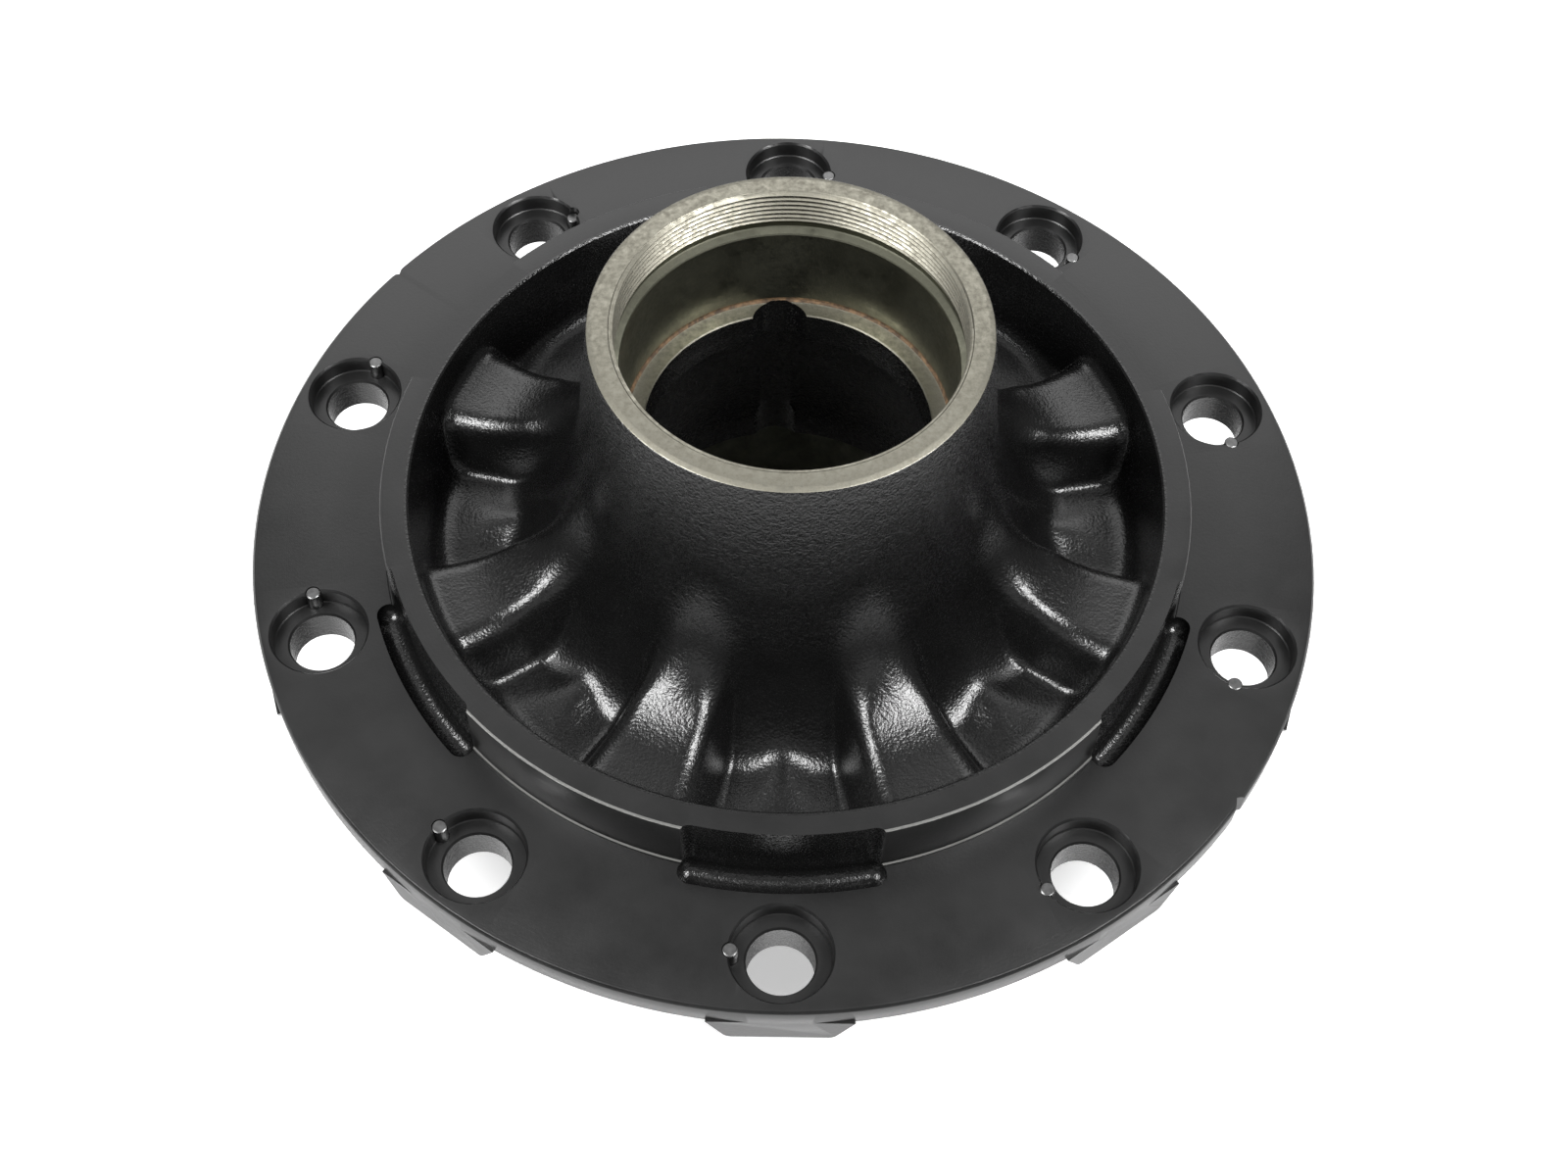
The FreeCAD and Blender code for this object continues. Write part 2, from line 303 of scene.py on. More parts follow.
def ridge_share(degrees, softer):
    """1 on the top of a ridge, 0 in a valley: a round shoulder, a straight side, a round foot.

    The shoulder gets softer, from 0 to 1, where the ridge melts into the neck.
    """
    spacing = 360.0 / RIDGE_COUNT
    off = np.abs((degrees - FIRST_RIDGE_ANGLE + spacing / 2) % spacing - spacing / 2)
    low = math.sqrt(1 - STEEP ** 2)
    start = SHOULDER_START * (1 - softer)
    shoulder = np.clip((off - start) / (SHOULDER_END - start), 0, 1)
    side = np.clip((off - SHOULDER_END) / (SIDE_END - SHOULDER_END), 0, 1)
    foot = np.clip((off - SIDE_END) / (FOOT_END - SIDE_END), 0, 1)
    over = (1 - np.sqrt(1 - (STEEP * shoulder) ** 2)) / (1 - low)
    under = (np.sqrt(1 - (STEEP * (1 - foot)) ** 2) - low) / (1 - low)
    crisp = 1.0 - SHOULDER_DROP * over - SIDE_DROP * side - FOOT_DROP * under
    wave = 0.5 + 0.5 * np.cos(np.pi * np.clip(off / WAVE_HALF_ANGLE, 0, 1))
    return crisp * (1 - softer) + wave * softer


def soft_highest(values, softness):
    """The highest of several heights, with the edges between them rounded."""
    top = np.maximum.reduce(values)
    return top + softness * np.log(sum(np.exp((value - top) / softness) for value in values))


def hump_height(radius, degrees):
    """Height of the three-sided hump that stands in each valley."""
    spacing = 360.0 / RIDGE_COUNT
    off = (degrees - FIRST_RIDGE_ANGLE) % spacing - spacing / 2
    across = radius * np.radians(off)
    along = radius - HUMP_RADIUS
    falls = [HUMP_OUTER_FALL * along,
             HUMP_SIDE_FALL * across - HUMP_INNER_FALL * along,
             -HUMP_SIDE_FALL * across - HUMP_INNER_FALL * along]
    return HUMP_TOP + HUMP_LIFT - soft_highest(falls, HUMP_SOFTNESS)


def raise_ridges(piece):
    """Slides each point of the bowl from the valley's section towards the ridge's."""
    mesh = piece.data
    flat = np.empty(len(mesh.vertices) * 3, dtype=np.float64)
    mesh.vertices.foreach_get("co", flat)
    places = flat.reshape(-1, 3) / MM
    radius = np.hypot(places[:, 0], places[:, 1])
    degrees = np.degrees(np.arctan2(places[:, 1], places[:, 0]))
    moved = 0
    for (low_r, low_z), (high_r, high_z) in zip(VALLEY, RIDGE):
        here = (np.abs(radius - low_r) < SAME_PLACE) & (np.abs(places[:, 2] - low_z) < SAME_PLACE)
        softer = min(max((MELT_RADIUS - 0.5 * (low_r + high_r)) / MELT_WIDTH, 0.0), 1.0)
        share = ridge_share(degrees[here], softer)
        r = low_r + (high_r - low_r) * share
        z = low_z + (high_z - low_z) * share
        z = soft_highest([z, hump_height(r, degrees[here])], MEETING_SOFTNESS)
        turn = np.radians(degrees[here])
        places[here] = np.stack([r * np.cos(turn), r * np.sin(turn), z], axis=1)
        moved += int(here.sum())
    mesh.vertices.foreach_set("co", (places * MM).ravel())
    mesh.update()
    return moved


casting = lathe("iron_casting", CAST_OUTLINE, CASTING_STEPS)
moved = raise_ridges(casting)
print("points moved for the bowl:", moved, "of", len(casting.data.vertices))

# %% [markdown]
# Drilling and milling come after turning, here as in the workshop. A cutter is a turned or
# swept solid with the chamfers that the tool leaves, and a Boolean modifier takes it away.
# The lugs under the flange are added the same way, before the holes go through them.

# %% Lugs under the flange
def boolean(piece, tool, operation):
    """Adds or takes away the tool, then throws the tool away."""
    deselect()
    piece.select_set(True)
    bpy.context.view_layer.objects.active = piece
    step = piece.modifiers.new("workshop", "BOOLEAN")
    step.operation = operation
    step.solver = "EXACT"
    step.use_self = False
    step.object = tool
    bpy.ops.object.modifier_apply(modifier=step.name)
    bpy.data.objects.remove(tool, do_unlink=True)
    return piece


def make_lug():
    """A block with sloping sides under the flange, from the web out to the turned rim."""
    deselect()
    length = RIM_RADIUS - LUG_INSET - (STUD_CIRCLE - LUG_HALF_WIDTH)
    middle = RIM_RADIUS - LUG_INSET - length / 2
    half_way = (LUG_TOP + LUG_BOTTOM) / 2
    bpy.ops.mesh.primitive_cube_add(size=MM, location=(middle * MM, 0, half_way * MM))
    lug = bpy.context.object
    lug.scale = (length, 2 * LUG_HALF_WIDTH, LUG_TOP - LUG_BOTTOM)
    bpy.ops.object.transform_apply(location=True, rotation=True, scale=True)
    bpy.ops.object.mode_set(mode="EDIT")
    shape = bmesh.from_edit_mesh(lug.data)
    for vertex in shape.verts:
        vertex.select = vertex.co.z > half_way * MM
    bmesh.update_edit_mesh(lug.data)
    bpy.ops.mesh.select_mode(type="VERT")
    bpy.ops.transform.resize(value=(1.0, LUG_FLARE, 1.0), center_override=(middle * MM, 0, 0))
    bpy.ops.mesh.select_mode(type="EDGE")
    bpy.ops.mesh.select_all(action="DESELECT")
    shape = bmesh.from_edit_mesh(lug.data)
    for edge in shape.edges:
        a, b = (v.co for v in edge.verts)
        edge.select = max(a.x, b.x) < (STUD_CIRCLE - 10) * MM and abs(a.z - b.z) > 5 * MM
    bmesh.update_edit_mesh(lug.data)
    bpy.ops.mesh.bevel(offset=LUG_CORNER * MM, segments=6, affect="EDGES")
    bpy.ops.mesh.select_all(action="DESELECT")
    shape = bmesh.from_edit_mesh(lug.data)
    for edge in shape.edges:
        low = max(v.co.z for v in edge.verts) < (LUG_BOTTOM + 1) * MM
        far = min(v.co.x for v in edge.verts) > (RIM_RADIUS - 2) * MM
        edge.select = low and not far
    bmesh.update_edit_mesh(lug.data)
    bpy.ops.mesh.bevel(offset=LUG_EDGE * MM, segments=3, affect="EDGES")
    bpy.ops.object.mode_set(mode="OBJECT")
    return lug


first_lug = make_lug()
lugs = []
for number in range(STUD_COUNT):
    lug = copy_of(first_lug, "lug_%d" % number)
    lugs.append(place(lug, turn=FIRST_STUD_ANGLE + number * 360 / STUD_COUNT))
bpy.data.objects.remove(first_lug, do_unlink=True)
boolean(casting, joined(lugs, "lugs"), "UNION")
print("faces with lugs:", len(casting.data.polygons))

# %% Stud holes, pin holes, pockets, notches and slots
UNDER_LUGS = -26
OVER_FLANGE = 2
OVER_SPIGOT = 27
GROOVE_STEPS = 64
GROOVE_CUTS = 12

hole_outline = [(0, UNDER_LUGS), (STUD_HOLE, UNDER_LUGS), (STUD_HOLE, -7.6)]
hole_outline += [(STUD_HOLE + 0.6, -COUNTERBORE_DEPTH)]
hole_outline += [(COUNTERBORE - 0.4, -COUNTERBORE_DEPTH), (COUNTERBORE, -COUNTERBORE_DEPTH + 0.4)]
hole_outline += [(COUNTERBORE, -0.75), (COUNTERBORE + 0.12, -0.6), (COUNTERBORE + 0.7, 0)]
hole_outline += [(COUNTERBORE + 2.7, OVER_FLANGE), (0, OVER_FLANGE)]


def pin_drop(number):
    """How far below the flange's face the pin sits."""
    return DEEP_PIN_DROP if number + 1 == DEEP_PIN else 0.0


def stud_cutter(number):
    """A stepped drill for one stud hole, with the hole of its pin beside it."""
    hole = place(lathe("hole", hole_outline, 96), x=STUD_CIRCLE)
    foot = -PIN_LENGTH - pin_drop(number)
    drill = [(0, foot), (PIN_HOLE, foot), (PIN_HOLE, OVER_FLANGE), (0, OVER_FLANGE)]
    pin_hole = lathe("pin_hole", drill, 48)
    place(pin_hole, x=STUD_CIRCLE - PIN_INWARD, y=-PIN_SIDE)
    boolean(hole, pin_hole, "UNION")
    return place(hole, turn=FIRST_STUD_ANGLE + number * 360 / STUD_COUNT)


def pocket_cutter(angle):
    """A groove with a round bottom and round ends, made straight and then bent round the axis."""
    half = POCKET_WIDTH / 2
    middle = POCKET_WALL + half
    bottom = arc(0, half - POCKET_DEPTH, half, -90, 0, 8)
    top = [(half, OVER_SPIGOT), (0, OVER_SPIGOT)]
    groove = lathe("groove", [(0, -POCKET_DEPTH)] + bottom[1:] + top, GROOVE_STEPS)
    place(groove, turn=180 / GROOVE_STEPS)
    run = middle * math.radians(POCKET_HALF_ANGLE)
    for vertex in groove.data.vertices:
        if abs(vertex.co.y) > 0.01 * MM:
            vertex.co.y += math.copysign(run * MM, vertex.co.y)
    bpy.ops.object.mode_set(mode="EDIT")
    for step in range(-GROOVE_CUTS, GROOVE_CUTS + 1):
        cut = step / (GROOVE_CUTS + 0.5) * run * MM
        bpy.ops.mesh.select_all(action="SELECT")
        bpy.ops.mesh.bisect(plane_co=(0, cut, 0), plane_no=(0, 1, 0))
    finish_mesh(groove)
    for vertex in groove.data.vertices:
        radius = middle + vertex.co.x / MM
        turn = vertex.co.y / MM / middle
        vertex.co.x, vertex.co.y = radius * math.cos(turn) * MM, radius * math.sin(turn) * MM
    return place(groove, turn=angle)


def notch_cutter(angle):
    """A three-sided bar that leaves a small notch in the rim."""
    depth = [(RIM_RADIUS - 2.0, 0.0), (RIM_RADIUS + 1.5, -6.6), (RIM_RADIUS + 1.5, 3.9)]
    deselect()
    bpy.ops.mesh.primitive_cylinder_add(vertices=3, radius=MM, depth=40 * MM, location=(0, 0, 0))
    notch = bpy.context.object
    for vertex in notch.data.vertices:
        turn = math.atan2(vertex.co.y, vertex.co.x)
        x, y = depth[int(round(turn / (2 * math.pi / 3))) % 3]
        vertex.co.x, vertex.co.y = x * MM, y * MM
    bpy.ops.object.mode_set(mode="EDIT")
    finish_mesh(notch)
    return place(notch, turn=angle)


def slot_cutter(angle, low, high, reach):
    """A half-round slot beside a bearing seat, between two heights and out to a radius."""
    half = SLOT_HALF_WIDTH
    deselect()
    bpy.ops.mesh.primitive_cylinder_add(vertices=64, radius=half * MM, depth=(high - low) * MM,
                                        location=((reach - half) * MM, 0, (high + low) / 2 * MM))
    slot = bpy.context.object
    bpy.ops.object.transform_apply(location=True, rotation=True, scale=True)
    bpy.ops.object.mode_set(mode="EDIT")
    shape = bmesh.from_edit_mesh(slot.data)
    for vertex in shape.verts:
        vertex.select = vertex.co.x < (reach - half - 0.01) * MM
    bmesh.update_edit_mesh(slot.data)
    bpy.ops.transform.translate(value=((half - reach + 10) * MM, 0, 0))
    finish_mesh(slot)
    return place(slot, turn=angle)


cutters = [stud_cutter(number) for number in range(STUD_COUNT)]
for number in range(POCKET_COUNT):
    cutters.append(pocket_cutter(FIRST_POCKET_ANGLE + number * 360 / POCKET_COUNT))
for angle in NOTCH_ANGLES:
    cutters.append(notch_cutter(angle))
for angle in SLOT_ANGLES:
    cutters.append(slot_cutter(angle, 27.0, 53.0, 54.9))
    cutters.append(slot_cutter(angle, -29.5, -12.0, 63.0))
boolean(casting, joined(cutters, "cutters"), "DIFFERENCE")
print("faces after cutting:", len(casting.data.polygons))

# %% [markdown]
# The cap's thread is a true helix. A small triangle, the section of one turn, is spun round the
# axis while it climbs by the pitch, so that the turns run into each other as on the real neck.

# %% Thread in the neck
TURN_STEPS = 160
THREAD_START = 90.3
THREAD_TOP = 103.85
FADE_IN_HEIGHT, FADE_IN_LENGTH = 89.9, 1.2
FADE_OUT_HEIGHT, FADE_OUT_LENGTH = 104.5, 1.0


def make_thread():
    """The turns of the cap's thread, which fade out at both ends."""
    section = [(THREAD_ROOT + 0.25, -1.0), (THREAD_ROOT, -0.94), (THREAD_CREST, -0.12)]
    section += [(THREAD_CREST, 0.12), (THREAD_ROOT, 0.94), (THREAD_ROOT + 0.25, 1.0)]
    thread = start_point("cap_thread", *section[0])
    draw_outline(section, closed=False)
    bpy.ops.object.mode_set(mode="OBJECT")
    place(thread, z=THREAD_START)
    climb = thread.modifiers.new("climb", "SCREW")
    climb.axis = "Z"
    climb.angle = 2 * math.pi * THREAD_TURNS
    climb.screw_offset = THREAD_PITCH * THREAD_TURNS * MM
    climb.steps = int(TURN_STEPS * THREAD_TURNS)
    climb.render_steps = int(TURN_STEPS * THREAD_TURNS)
    bpy.ops.object.modifier_apply(modifier=climb.name)
    bpy.ops.object.mode_set(mode="EDIT")
    finish_mesh(thread)
    for vertex in thread.data.vertices:
        radius = math.hypot(vertex.co.x, vertex.co.y) / MM
        height = vertex.co.z / MM
        fade_out = min(max((FADE_OUT_HEIGHT - height) / FADE_OUT_LENGTH, 0.0), 1.0)
        fade_in = min(max((height - FADE_IN_HEIGHT) / FADE_IN_LENGTH, 0.0), 1.0)
        share = fade_out * fade_in
        grow = (THREAD_ROOT + 0.1 + (radius - THREAD_ROOT - 0.1) * share) / radius
        vertex.co.x *= grow
        vertex.co.y *= grow
        vertex.co.z = min(vertex.co.z, THREAD_TOP * MM)
    face = thread.data.polygons[len(thread.data.polygons) // 2]
    if face.normal.x * face.center.x + face.normal.y * face.center.y > 0:
        thread.data.flip_normals()
    return thread


thread = make_thread()
print("thread faces:", len(thread.data.polygons))

# %% [markdown]
# The pins are short dowels, driven in until they are flush with the flange. One of them was
# driven 3 mm too deep, and it stays so here. One pin is made and copied.

# %% Dowel pins
pin_outline = [(0, 0), (PIN_RADIUS, 0), (PIN_RADIUS, PIN_LENGTH - 0.45)]
pin_outline += [(PIN_RADIUS - 0.12, PIN_LENGTH - 0.2)]
pin_outline += [(PIN_RADIUS - 0.45, PIN_LENGTH), (0, PIN_LENGTH)]
first_pin = lathe("pin", pin_outline, 48)
pins = []
for number in range(STUD_COUNT):
    pin = copy_of(first_pin, "dowel_pin_%02d" % (number + 1))
    foot = -PIN_LENGTH - pin_drop(number)
    place(pin, x=STUD_CIRCLE - PIN_INWARD, y=-PIN_SIDE, z=foot)
    pins.append(place(pin, turn=FIRST_STUD_ANGLE + number * 360 / STUD_COUNT))
bpy.data.objects.remove(first_pin, do_unlink=True)
print("pins:", len(pins))

# %% [markdown]
# The cast skin is black paint over the grain of moulding sand. The turned faces carry the same
# black, thinner and smoother, with the lathe's fine rings, and the spigot's edges that face the
# front get a bare-metal colour as a painted highlight. The neck's mouth and thread are bare metal.
# The bores are darker, partly with oil and partly as painted shade on their upright walls and deep
# inside, with a thin line of rust in the corner of the bearing seat. The pins are ground steel.

# %% Material tools
def new_material(name):
    """A bare shader: the material, its node tree, the shader and the object's own places."""
    material = bpy.data.materials.new(name)
    material.use_nodes = True
    tree = material.node_tree
    tree.nodes.clear()
    output = tree.nodes.new("ShaderNodeOutputMaterial")
    shader = tree.nodes.new("ShaderNodeBsdfPrincipled")
    tree.links.new(shader.outputs["BSDF"], output.inputs["Surface"])
    place_node = tree.nodes.new("ShaderNodeTexCoord")
    return material, tree, shader, place_node.outputs["Object"]


def noise(tree, place_out, scale, detail=2.0, rough=0.5):
    node = tree.nodes.new("ShaderNodeTexNoise")
    node.inputs["Scale"].default_value = scale
    node.inputs["Detail"].default_value = detail
    node.inputs["Roughness"].default_value = rough
    tree.links.new(place_out, node.inputs["Vector"])
    return node.outputs["Fac"]


def ramp(tree, value, stops):
    """Colours along a value, from (position, colour) stops."""
    node = tree.nodes.new("ShaderNodeValToRGB")
    while len(node.color_ramp.elements) < len(stops):
        node.color_ramp.elements.new(0.5)
    for element, (position, color) in zip(node.color_ramp.elements, stops):
        element.position = position
        element.color = (*color, 1.0)
    tree.links.new(value, node.inputs["Fac"])
    return node.outputs["Color"]


def bump(tree, height, strength, distance, under=None):
    """A relief that tilts the light, on top of another one if that is given."""
    node = tree.nodes.new("ShaderNodeBump")
    node.inputs["Strength"].default_value = strength
    node.inputs["Distance"].default_value = distance
    tree.links.new(height, node.inputs["Height"])
    if under is not None:
        tree.links.new(under, node.inputs["Normal"])
    return node.outputs["Normal"]


def spread(tree, value, low, high, from_low=0.0, from_high=1.0):
    """A value stretched to run from low to high."""
    node = tree.nodes.new("ShaderNodeMapRange")
    node.inputs["From Min"].default_value = from_low
    node.inputs["From Max"].default_value = from_high
    node.inputs["To Min"].default_value = low
    node.inputs["To Max"].default_value = high
    tree.links.new(value, node.inputs["Value"])
    return node.outputs["Result"]


def grey(level):
    return (level, level, level)


# %% Cast skin
def cast_skin():
    material, tree, shader, here = new_material("black_cast_skin")
    grain = noise(tree, here, 1100.0, 2.0, 0.5)
    lumps = noise(tree, here, 420.0, 2.0, 0.5)
    blotch = noise(tree, here, 60.0, 3.0, 0.6)
    color = ramp(tree, blotch, [(0.3, grey(0.003)), (0.7, grey(0.005))])
    tree.links.new(color, shader.inputs["Base Color"])
    tree.links.new(spread(tree, grain, 0.16, 0.36), shader.inputs["Roughness"])
    wave = bump(tree, lumps, 0.12, 0.0010)
    tree.links.new(bump(tree, grain, 0.30, 0.0006, wave), shader.inputs["Normal"])
    shader.inputs["Specular IOR Level"].default_value = 0.65
    return material


# %% Turned black
def turned_black():
    material, tree, shader, here = new_material("turned_black")
    split = tree.nodes.new("ShaderNodeSeparateXYZ")
    tree.links.new(here, split.inputs["Vector"])
    length = tree.nodes.new("ShaderNodeVectorMath")
    length.operation = "LENGTH"
    flat = tree.nodes.new("ShaderNodeCombineXYZ")
    tree.links.new(split.outputs["X"], flat.inputs["X"])
    tree.links.new(split.outputs["Y"], flat.inputs["Y"])
    tree.links.new(flat.outputs["Vector"], length.inputs[0])
    rings = tree.nodes.new("ShaderNodeCombineXYZ")
    tree.links.new(length.outputs["Value"], rings.inputs["X"])
    tree.links.new(split.outputs["Z"], rings.inputs["Y"])
    fine = noise(tree, rings.outputs["Vector"], 2600.0, 2.0, 0.5)
    cloud = noise(tree, here, 45.0, 4.0, 0.6)
    dust = noise(tree, here, 900.0, 2.0, 0.5)
    color = ramp(tree, cloud, [(0.3, grey(0.006)), (0.75, grey(0.011))])
    tree.links.new(color, shader.inputs["Base Color"])
    tree.links.new(spread(tree, cloud, 0.28, 0.38), shader.inputs["Roughness"])
    rough = bump(tree, dust, 0.12, 0.0003)
    tree.links.new(bump(tree, fine, 0.10, 0.0002, rough), shader.inputs["Normal"])
    shader.inputs["Specular IOR Level"].default_value = 0.5
    return material


# %% Bare metal and pins
def bare_metal(name, dark, light, patch_size):
    material, tree, shader, here = new_material(name)
    cloud = noise(tree, here, patch_size, 5.0, 0.65)
    fine = noise(tree, here, 1500.0, 2.0, 0.5)
    specks = noise(tree, here, 700.0, 3.0, 0.7)
    both = tree.nodes.new("ShaderNodeMath")
    both.operation = "ADD"
    tree.links.new(spread(tree, cloud, 0.0, 0.7), both.inputs[0])
    tree.links.new(spread(tree, specks, 0.0, 0.3), both.inputs[1])
    patches = both.outputs["Value"]
    tree.links.new(ramp(tree, patches, [(0.38, dark), (0.62, light)]), shader.inputs["Base Color"])
    tree.links.new(spread(tree, patches, 0.58, 0.32, 0.35, 0.65), shader.inputs["Roughness"])
    tree.links.new(bump(tree, fine, 0.12, 0.0002), shader.inputs["Normal"])
    shader.inputs["Metallic"].default_value = 1.0
    return material


def pin_steel():
    material, tree, shader, here = new_material("pin_steel")
    cloud = noise(tree, here, 400.0, 3.0, 0.6)
    color = ramp(tree, cloud, [(0.3, grey(0.12)), (0.7, grey(0.2))])
    tree.links.new(color, shader.inputs["Base Color"])
    tree.links.new(spread(tree, cloud, 0.3, 0.45), shader.inputs["Roughness"])
    tree.links.new(bump(tree, cloud, 0.1, 0.0003), shader.inputs["Normal"])
    shader.inputs["Metallic"].default_value = 1.0
    return material


def thin_rust():
    material, tree, shader, here = new_material("thin_rust")
    cloud = noise(tree, here, 500.0, 3.0, 0.6)
    color = ramp(tree, cloud, [(0.4, (0.05, 0.03, 0.015)), (0.65, (0.20, 0.12, 0.06))])
    tree.links.new(color, shader.inputs["Base Color"])
    shader.inputs["Roughness"].default_value = 0.7
    return material


# Slot 3 darkens the bores, partly for oil and partly as painted shade; slot 4 is a painted
# highlight on the front spigot edges.
CAST, TURNED, BARE, OILED_AND_SHADED, FRONT_EDGE_HIGHLIGHT, RUST = 0, 1, 2, 3, 4, 5
finishes = [
    cast_skin(),
    turned_black(),
    bare_metal("bare_face_metal", (0.20, 0.19, 0.155), (0.33, 0.318, 0.265), 420.0),
    # The bores' darker metal is partly oil and partly painted shade.
    bare_metal("oiled_and_shaded_bore_metal", (0.13, 0.13, 0.10), (0.22, 0.22, 0.17), 60.0),
    # This bright bare-metal colour on the front-facing spigot edges is a painted highlight.
    bare_metal("front_edge_highlight_metal", (0.30, 0.30, 0.29), (0.50, 0.50, 0.48), 200.0),
    thin_rust(),
]
for finish in finishes:
    casting.data.materials.append(finish)
thread.data.materials.append(finishes[BARE])
steel = pin_steel()
for pin in pins:
    pin.data.materials.append(steel)
print("materials:", [material.name for material in casting.data.materials])

# %% [markdown]
# Which finish a face gets follows from where it lies and which way it looks. Mostly this follows
# which surfaces the lathe has reached. The spigot's front-facing edges get a painted highlight, and
# the bores' upright walls and the deep inner bores get painted shade.

# %% Give each face its finish
SMOOTH_ANGLE = 28


def finish_of(centre, normal):
    """The finish of a face from its centre and the way it looks."""
    radius = math.hypot(centre.x, centre.y) / MM
    height = centre.z / MM
    on_mouth = radius < 64.6 and height > 103.3
    in_seat_corner = 54.15 < radius < 54.99 and 52.5 < height < 54.0 and normal.z > 0.1
    in_neck_bore = radius < 59.5 and height > 52.0
    in_inner_bores = radius < 70.6 and height < -28.0
    on_barrel_end = height < -73.0 or (radius < 82.5 and height < -56.0)
    spigot_edge = 139.7 < radius < 140.38 and 23.3 < height < 24.0
    spigot_foot = 140.41 < radius < 140.9 and 0.4 < height < 1.0
    facing_front = centre.y < -0.5 * radius * MM
    on_spigot_top = radius > 131.5 and height > 23.0
    on_flange = radius > 140.2 and height > -9.6
    in_pocket = height < -1.0 and radius < 148.5
    on_lug_face = radius > 150.0 and height < -19.5 and normal.z < -0.9
    on_rim = radius > RIM_RADIUS - 0.6
    if on_mouth:
        return BARE
    if in_seat_corner:
        return RUST
    if in_neck_bore:
        # The upright walls of the lower neck bore are darkened as painted shade as well as for oil;
        # the ledges stay bare.
        upright = abs(normal.z) < 0.5
        return OILED_AND_SHADED if height < 90.5 and (upright or height > 80.0) else BARE
    if in_inner_bores:
        # The deep inner bores are darkened as painted shade as well as for oil.
        return OILED_AND_SHADED
    if on_barrel_end:
        return TURNED
    # The spigot's chamfers that face the front get bare-metal colour as a painted highlight.
    if (spigot_edge or spigot_foot) and facing_front and 0.3 < normal.z < 0.9:
        return FRONT_EDGE_HIGHLIGHT
    if on_spigot_top:
        return TURNED
    if on_flange:
        return CAST if in_pocket else TURNED
    return TURNED if on_lug_face or on_rim else CAST


for face in casting.data.polygons:
    face.material_index = finish_of(face.center, face.normal)
for piece in [casting, thread] + pins:
    deselect()
    piece.select_set(True)
    bpy.context.view_layer.objects.active = piece
    bpy.ops.object.shade_smooth_by_angle(angle=math.radians(SMOOTH_ANGLE))
    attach(piece, "root")
for piece in (casting, thread):
    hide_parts("hub_casting")
for number, pin in enumerate(pins):
    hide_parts("stop_pin_%02d" % (number + 1))
print("pieces:", 2 + len(pins))

# %% [markdown]
# The camera stands where the photographer stood: a little in front of the hub and well above it,
# looking down at 57 degrees. Its place and lens were found from the ten stud holes and the rims.

# %% Camera
CAMERA_PLACE = (-0.007737, -0.433078, 0.613535)
CAMERA_TURN = (33.2295, -1.0081, 0.4669)
CAMERA_LENS = 48.338
SENSOR_WIDTH = 36.0

camera_data = bpy.data.cameras.new("photo_camera")
camera = bpy.data.objects.new("photo_camera", camera_data)
bpy.context.collection.objects.link(camera)
camera_data.sensor_fit = "HORIZONTAL"
camera_data.sensor_width = SENSOR_WIDTH
camera_data.lens = CAMERA_LENS
camera_data.clip_start = 0.01
camera.location = CAMERA_PLACE
camera.rotation_euler = [math.radians(turn) for turn in CAMERA_TURN]
bpy.context.scene.camera = camera
print("lens: %.1f mm" % camera_data.lens)

# %% [markdown]
# The floor and the surroundings are white, as in a light tent. Two soft lamps stand left and
# right of the hub, which give each ridge of the bowl a bright flank and a dark one. Wide lamps
# behind and above it light the flange, and a weak one in front picks out the spigot's edges.

# %% Floor, lamps and surroundings
FLOOR_RADIUS = 6.0
FLOOR_GLOW = 0.45
GLOW_IN_MIRRORS = 0.5
GLOW_START, GLOW_FULL = 0.08, 0.12
LAMP_AIM = (0, 0, 0.02)
WORLD_STRENGTH = 0.12

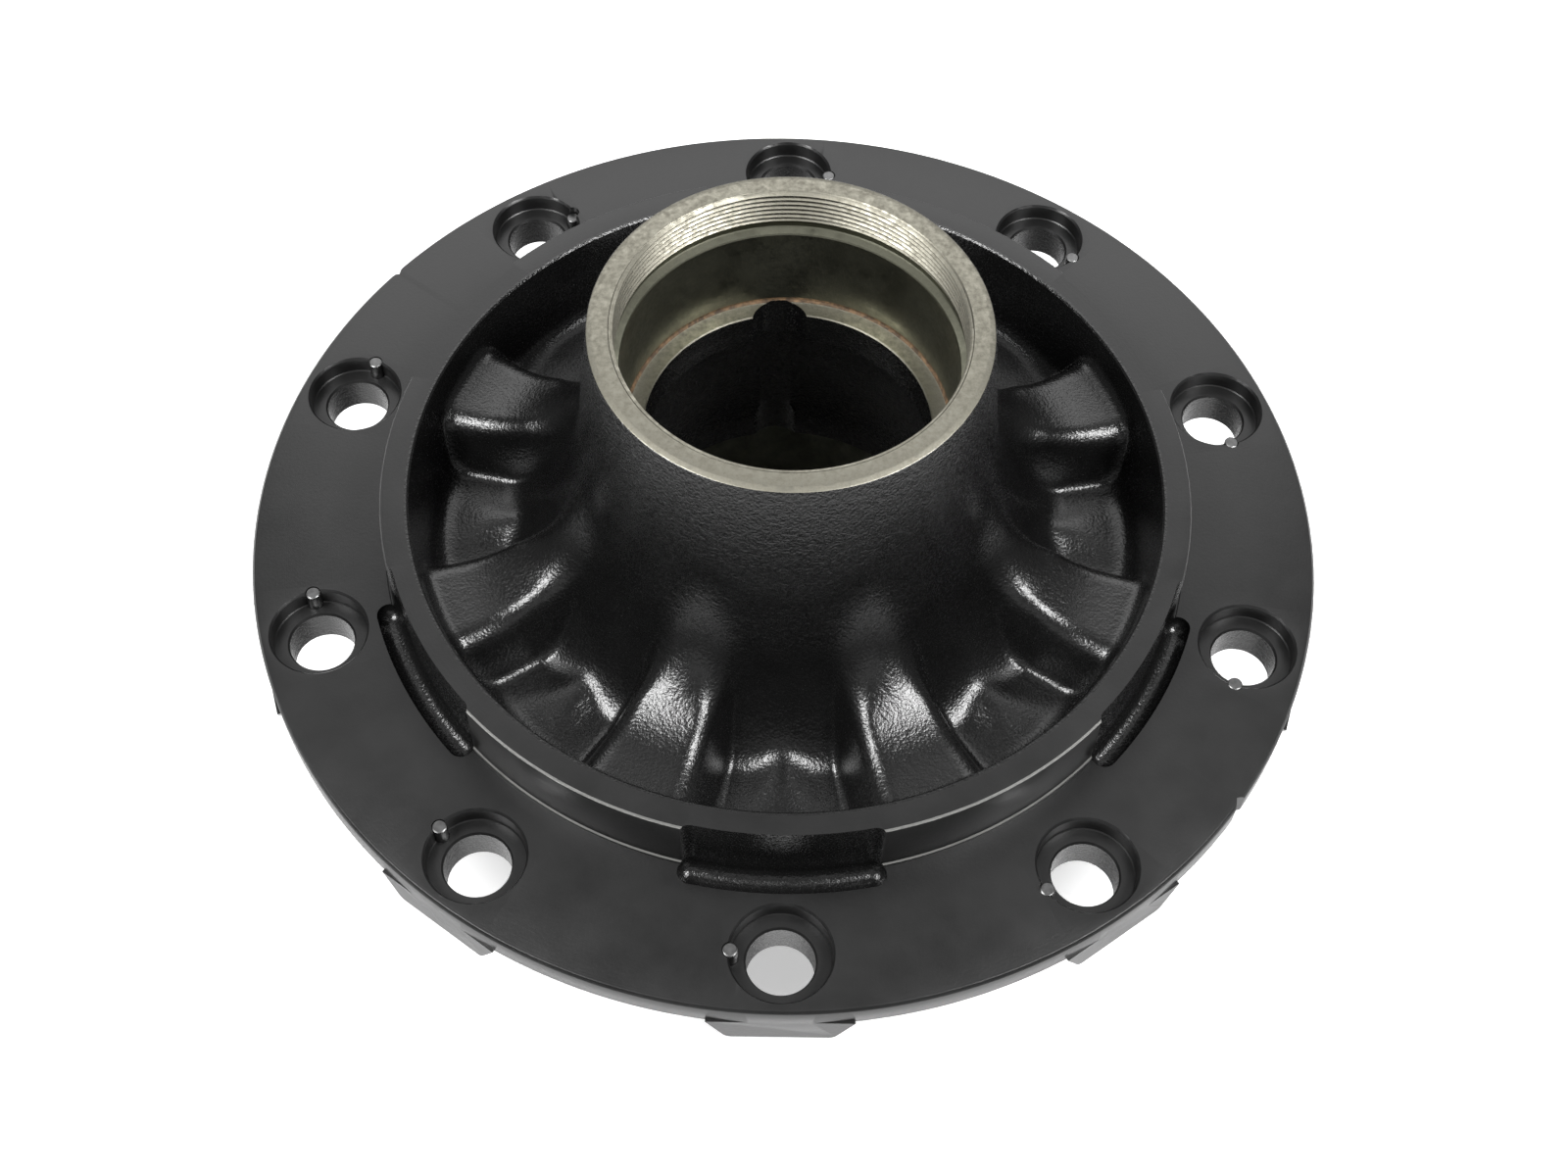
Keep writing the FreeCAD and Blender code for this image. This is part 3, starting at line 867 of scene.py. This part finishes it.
bpy.ops.mesh.primitive_circle_add(vertices=128, radius=FLOOR_RADIUS, fill_type="NGON",
                                  location=(0, 0, BARREL_END * MM))
floor = bpy.context.object
floor.name = "floor"
white, white_tree, white_shader, white_here = new_material("white_floor")
white_shader.inputs["Base Color"].default_value = (0.9, 0.9, 0.9, 1.0)
white_shader.inputs["Roughness"].default_value = 0.8
white_shader.inputs["Emission Color"].default_value = (1, 1, 1, 1)
rays = white_tree.nodes.new("ShaderNodeLightPath")
mirrored = white_tree.nodes.new("ShaderNodeMath")
mirrored.operation = "MULTIPLY_ADD"
white_tree.links.new(rays.outputs["Is Glossy Ray"], mirrored.inputs[0])
mirrored.inputs[1].default_value = GLOW_IN_MIRRORS
white_tree.links.new(rays.outputs["Is Camera Ray"], mirrored.inputs[2])
glow = mirrored.outputs["Value"]
away = white_tree.nodes.new("ShaderNodeVectorMath")
away.operation = "LENGTH"
white_tree.links.new(white_here, away.inputs[0])
outside_bore = spread(white_tree, away.outputs["Value"], 0.0, FLOOR_GLOW, GLOW_START, GLOW_FULL)
product = white_tree.nodes.new("ShaderNodeMath")
product.operation = "MULTIPLY"
white_tree.links.new(glow, product.inputs[0])
white_tree.links.new(outside_bore, product.inputs[1])
white_tree.links.new(product.outputs["Value"], white_shader.inputs["Emission Strength"])
floor.data.materials.append(white)


def lamp(name, place_at, size, power):
    """A soft rectangular lamp that looks at the hub."""
    data = bpy.data.lights.new(name, "AREA")
    data.shape = "RECTANGLE"
    data.size, data.size_y = size
    data.energy = power
    light = bpy.data.objects.new(name, data)
    bpy.context.collection.objects.link(light)
    light.location = place_at
    light.rotation_euler = (Vector(LAMP_AIM) - Vector(place_at)).to_track_quat("-Z", "Y").to_euler()


lamp("left_softbox", (-0.75, -0.36, 1.05), (0.48, 0.50), 20.0)
lamp("right_softbox", (0.75, -0.36, 1.05), (0.48, 0.50), 20.0)
lamp("back_softbox", (0, 1.15, 0.85), (1.8, 0.8), 9.0)
lamp("ceiling_softbox", (0, 0.62, 1.25), (1.6, 0.6), 1.8)
lamp("front_softbox", (0, -1.5, 0.85), (1.8, 0.4), 1.5)

world = bpy.data.worlds.new("light_tent")
bpy.context.scene.world = world
world.use_nodes = True
world.node_tree.nodes["Background"].inputs["Color"].default_value = (1, 1, 1, 1)
world.node_tree.nodes["Background"].inputs["Strength"].default_value = WORLD_STRENGTH
bpy.context.scene.view_settings.view_transform = "Standard"
print("lamps: 5")
